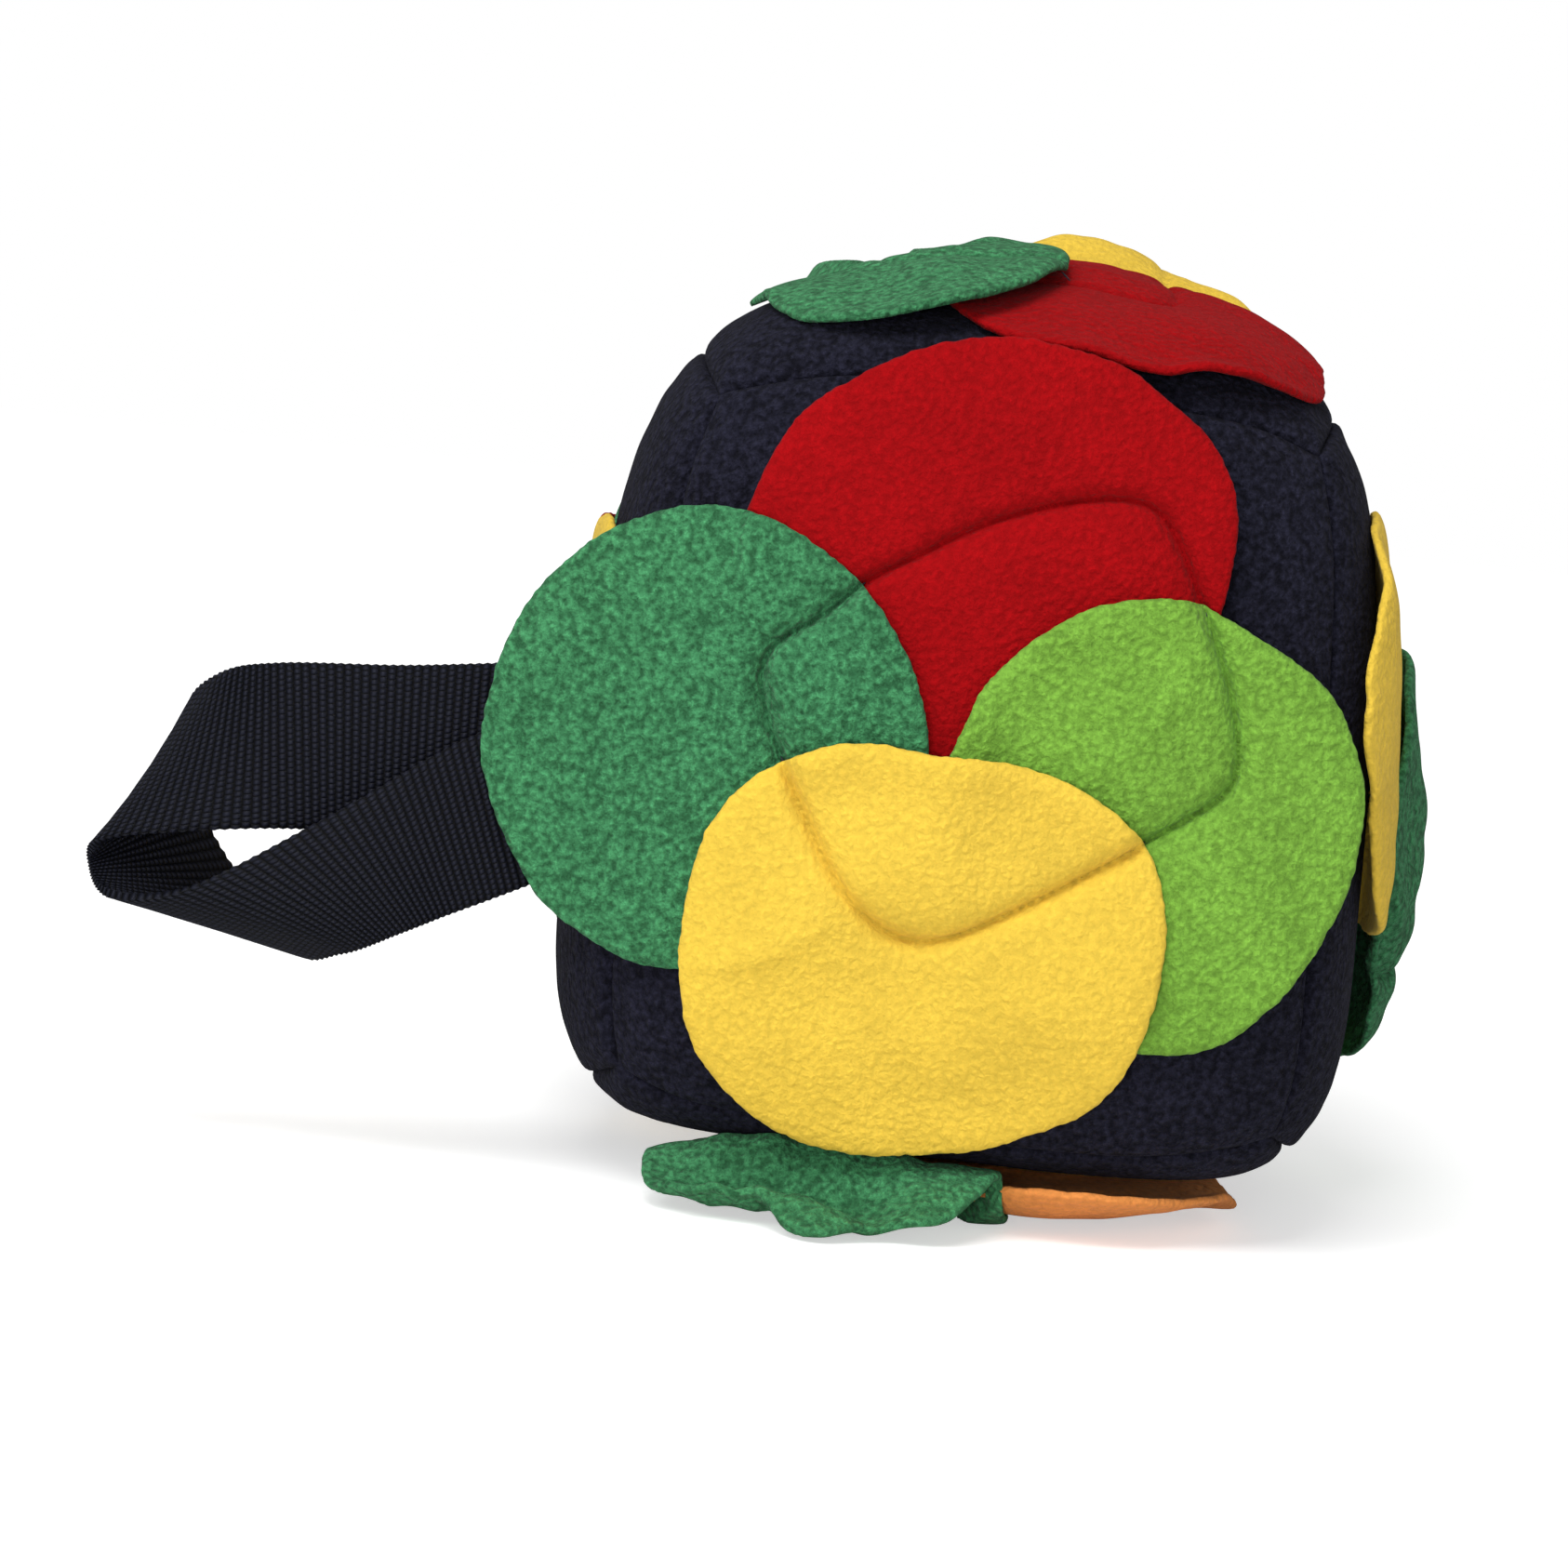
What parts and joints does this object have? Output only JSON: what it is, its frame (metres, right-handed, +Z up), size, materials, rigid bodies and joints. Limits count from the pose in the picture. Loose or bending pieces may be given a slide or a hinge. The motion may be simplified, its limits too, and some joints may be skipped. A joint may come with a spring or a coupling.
{
  "type": "plush snuffle toy",
  "caption": "Stuffed fleece cube for pets with round fleece petals sewn to each face as treat pockets, and a webbing loop handle.",
  "frame": {"origin": "on the flat underside of the base flower, below the middle of the cube", "axes": "+Z up, -Y towards the front face, -X towards the handle"},
  "size_m": [0.3041, 0.2111, 0.2234],
  "materials": {
    "navy_fleece": "brushed polar fleece, short nap",
    "green_fleece": "brushed polar fleece, short pilled nap",
    "dark_green_fleece": "brushed polar fleece, short pilled nap",
    "red_fleece": "brushed polar fleece, short pilled nap",
    "yellow_fleece": "brushed polar fleece, short pilled nap",
    "lime_fleece": "brushed polar fleece, short pilled nap",
    "orange_fleece": "brushed polar fleece, short pilled nap",
    "navy_webbing": "woven nylon webbing with cross ribs",
    "fibre_fill": "loose polyester fibre"
  },
  "bodies": {
    "cube": {"stuffing": "fibre_fill", "front_panel": "navy_fleece", "back_panel": "navy_fleece", "right_panel": "navy_fleece", "left_panel": "navy_fleece", "top_panel": "navy_fleece", "base_panel": "navy_fleece", "front_green_petal_sewn": "green_fleece", "front_red_petal_sewn": "red_fleece", "front_lime_petal_sewn": "lime_fleece", "front_yellow_petal_sewn": "yellow_fleece", "back_red_petal_sewn": "red_fleece", "back_lime_petal_sewn": "lime_fleece", "back_green_petal_sewn": "green_fleece", "back_yellow_petal_sewn": "yellow_fleece", "right_red_petal_sewn": "red_fleece", "right_lime_petal_sewn": "lime_fleece", "right_yellow_petal_sewn": "yellow_fleece", "right_dark_green_petal_sewn": "dark_green_fleece", "left_yellow_petal_sewn": "yellow_fleece", "left_green_petal_sewn": "green_fleece", "left_red_petal_sewn": "red_fleece", "left_lime_petal_sewn": "lime_fleece", "top_green_petal_sewn": "green_fleece", "top_red_petal_sewn": "red_fleece", "top_yellow_petal_sewn": "yellow_fleece", "top_lime_petal_sewn": "lime_fleece", "base_green_petal_sewn": "green_fleece", "base_orange_petal_sewn": "orange_fleece", "base_red_petal_sewn": "red_fleece", "base_yellow_petal_sewn": "yellow_fleece", "handle_root": "navy_webbing"},
    "front_green_flap": {"front_green_petal_flap": "green_fleece"},
    "front_red_flap": {"front_red_petal_flap": "red_fleece"},
    "front_lime_flap": {"front_lime_petal_flap": "lime_fleece"},
    "front_yellow_flap": {"front_yellow_petal_flap": "yellow_fleece"},
    "back_red_flap": {"back_red_petal_flap": "red_fleece"},
    "back_lime_flap": {"back_lime_petal_flap": "lime_fleece"},
    "back_green_flap": {"back_green_petal_flap": "green_fleece"},
    "back_yellow_flap": {"back_yellow_petal_flap": "yellow_fleece"},
    "right_red_flap": {"right_red_petal_flap": "red_fleece"},
    "right_lime_flap": {"right_lime_petal_flap": "lime_fleece"},
    "right_yellow_flap": {"right_yellow_petal_flap": "yellow_fleece"},
    "right_dark_green_flap": {"right_dark_green_petal_flap": "dark_green_fleece"},
    "left_yellow_flap": {"left_yellow_petal_flap": "yellow_fleece"},
    "left_green_flap": {"left_green_petal_flap": "green_fleece"},
    "left_red_flap": {"left_red_petal_flap": "red_fleece"},
    "left_lime_flap": {"left_lime_petal_flap": "lime_fleece"},
    "top_green_flap": {"top_green_petal_flap": "green_fleece"},
    "top_red_flap": {"top_red_petal_flap": "red_fleece"},
    "top_yellow_flap": {"top_yellow_petal_flap": "yellow_fleece"},
    "top_lime_flap": {"top_lime_petal_flap": "lime_fleece"},
    "base_green_flap": {"base_green_petal_flap": "green_fleece"},
    "base_orange_flap": {"base_orange_petal_flap": "orange_fleece"},
    "base_red_flap": {"base_red_petal_flap": "red_fleece"},
    "base_yellow_flap": {"base_yellow_petal_flap": "yellow_fleece"},
    "handle": {"handle_loop": "navy_webbing"}
  },
  "joints": [
    {"name": "front_green_flap_fold", "type": "hinge", "parent": "cube", "child": "front_green_flap", "pos_m": [-0.06845, -0.09928, 0.1042], "axis": [0, 0, 1], "range_deg": [0, 110], "stiffness_Nm_per_rad": 0.02},
    {"name": "front_red_flap_fold", "type": "hinge", "parent": "cube", "child": "front_red_flap", "pos_m": [-0.00196, -0.09603, 0.17205], "axis": [1, 0, 0], "range_deg": [0, 110], "stiffness_Nm_per_rad": 0.02},
    {"name": "front_lime_flap_fold", "type": "hinge", "parent": "cube", "child": "front_lime_flap", "pos_m": [0.06001, -0.0998, 0.09734], "axis": [0, 0, -1], "range_deg": [0, 110], "stiffness_Nm_per_rad": 0.02},
    {"name": "front_yellow_flap_fold", "type": "hinge", "parent": "cube", "child": "front_yellow_flap", "pos_m": [-0.0098, -0.10365, 0.05987], "axis": [-1, 0, 0], "range_deg": [0, 110], "stiffness_Nm_per_rad": 0.02},
    {"name": "back_red_flap_fold", "type": "hinge", "parent": "cube", "child": "back_red_flap", "pos_m": [-0.03925, 0.09659, 0.14778], "axis": [-0.7431, 0, -0.6691], "range_deg": [0, 110], "stiffness_Nm_per_rad": 0.02},
    {"name": "back_lime_flap_fold", "type": "hinge", "parent": "cube", "child": "back_lime_flap", "pos_m": [0.04358, 0.09989, 0.14344], "axis": [-0.6691, 0, 0.7431], "range_deg": [0, 110], "stiffness_Nm_per_rad": 0.02},
    {"name": "back_green_flap_fold", "type": "hinge", "parent": "cube", "child": "back_green_flap", "pos_m": [0.03925, 0.10319, 0.06062], "axis": [0.7431, 0, 0.6691], "range_deg": [0, 110], "stiffness_Nm_per_rad": 0.02},
    {"name": "back_yellow_flap_fold", "type": "hinge", "parent": "cube", "child": "back_yellow_flap", "pos_m": [-0.03877, 0.10676, 0.06929], "axis": [0.6691, 0, -0.7431], "range_deg": [0, 110], "stiffness_Nm_per_rad": 0.02},
    {"name": "right_red_flap_fold", "type": "hinge", "parent": "cube", "child": "right_red_flap", "pos_m": [0.09459, 0.01219, 0.16157], "axis": [0, 0.9781, -0.2079], "range_deg": [0, 110], "stiffness_Nm_per_rad": 0.02},
    {"name": "right_lime_flap_fold", "type": "hinge", "parent": "cube", "child": "right_lime_flap", "pos_m": [0.09771, -0.0129, 0.04353], "axis": [0, -0.9781, 0.2079], "range_deg": [0, 110], "stiffness_Nm_per_rad": 0.02},
    {"name": "right_yellow_flap_fold", "type": "hinge", "parent": "cube", "child": "right_yellow_flap", "pos_m": [0.10146, -0.05103, 0.11505], "axis": [0, 0.2079, 0.9781], "range_deg": [0, 110], "stiffness_Nm_per_rad": 0.02},
    {"name": "right_dark_green_flap_fold", "type": "hinge", "parent": "cube", "child": "right_dark_green_flap", "pos_m": [0.10476, 0.04989, 0.08895], "axis": [0, -0.2924, -0.9563], "range_deg": [0, 110], "stiffness_Nm_per_rad": 0.02},
    {"name": "left_yellow_flap_fold", "type": "hinge", "parent": "cube", "child": "left_yellow_flap", "pos_m": [-0.101, -0.05217, 0.10714], "axis": [0, 0, -1], "range_deg": [0, 110], "stiffness_Nm_per_rad": 0.02},
    {"name": "left_green_flap_fold", "type": "hinge", "parent": "cube", "child": "left_green_flap", "pos_m": [-0.09687, 0, 0.16579], "axis": [0, -1, 0], "range_deg": [0, 110], "stiffness_Nm_per_rad": 0.02},
    {"name": "left_red_flap_fold", "type": "hinge", "parent": "cube", "child": "left_red_flap", "pos_m": [-0.10431, 0.05217, 0.1042], "axis": [0, 0, 1], "range_deg": [0, 110], "stiffness_Nm_per_rad": 0.02},
    {"name": "left_lime_flap_fold", "type": "hinge", "parent": "cube", "child": "left_lime_flap", "pos_m": [-0.09388, 0, 0.04555], "axis": [0, 1, 0], "range_deg": [0, 110], "stiffness_Nm_per_rad": 0.02},
    {"name": "top_green_flap_fold", "type": "hinge", "parent": "cube", "child": "top_green_flap", "pos_m": [-0.04147, -0.04147, 0.21809], "axis": [-0.7071, 0.7071, 0], "range_deg": [0, 110], "stiffness_Nm_per_rad": 0.02},
    {"name": "top_red_flap_fold", "type": "hinge", "parent": "cube", "child": "top_red_flap", "pos_m": [0.03689, -0.03689, 0.22214], "axis": [-0.7071, -0.7071, 0], "range_deg": [0, 110], "stiffness_Nm_per_rad": 0.02},
    {"name": "top_yellow_flap_fold", "type": "hinge", "parent": "cube", "child": "top_yellow_flap", "pos_m": [0.04147, 0.04147, 0.21479], "axis": [0.7071, -0.7071, 0], "range_deg": [0, 110], "stiffness_Nm_per_rad": 0.02},
    {"name": "top_lime_flap_fold", "type": "hinge", "parent": "cube", "child": "top_lime_flap", "pos_m": [-0.04147, 0.04147, 0.21149], "axis": [0.7071, 0.7071, 0], "range_deg": [0, 110], "stiffness_Nm_per_rad": 0.02},
    {"name": "base_green_flap_fold", "type": "hinge", "parent": "cube", "child": "base_green_flap", "pos_m": [-0.03689, -0.03689, 0], "axis": [0.7071, -0.7071, 0], "range_deg": [0, 110], "stiffness_Nm_per_rad": 0.02},
    {"name": "base_orange_flap_fold", "type": "hinge", "parent": "cube", "child": "base_orange_flap", "pos_m": [0.04147, -0.04147, 0.0033], "axis": [0.7071, 0.7071, 0], "range_deg": [0, 100], "stiffness_Nm_per_rad": 0.02},
    {"name": "base_red_flap_fold", "type": "hinge", "parent": "cube", "child": "base_red_flap", "pos_m": [0.04147, 0.04147, 0.0066], "axis": [-0.7071, 0.7071, 0], "range_deg": [0, 90], "stiffness_Nm_per_rad": 0.02},
    {"name": "base_yellow_flap_fold", "type": "hinge", "parent": "cube", "child": "base_yellow_flap", "pos_m": [-0.04147, 0.04147, 0.0099], "axis": [-0.7071, -0.7071, 0], "range_deg": [0, 80], "stiffness_Nm_per_rad": 0.02},
    {"name": "handle_swing", "type": "hinge", "parent": "cube", "child": "handle", "pos_m": [-0.104, -0.08325, 0.1042], "axis": [0, 0, 1], "range_deg": [-60, 0], "stiffness_Nm_per_rad": 0.02}
  ]
}
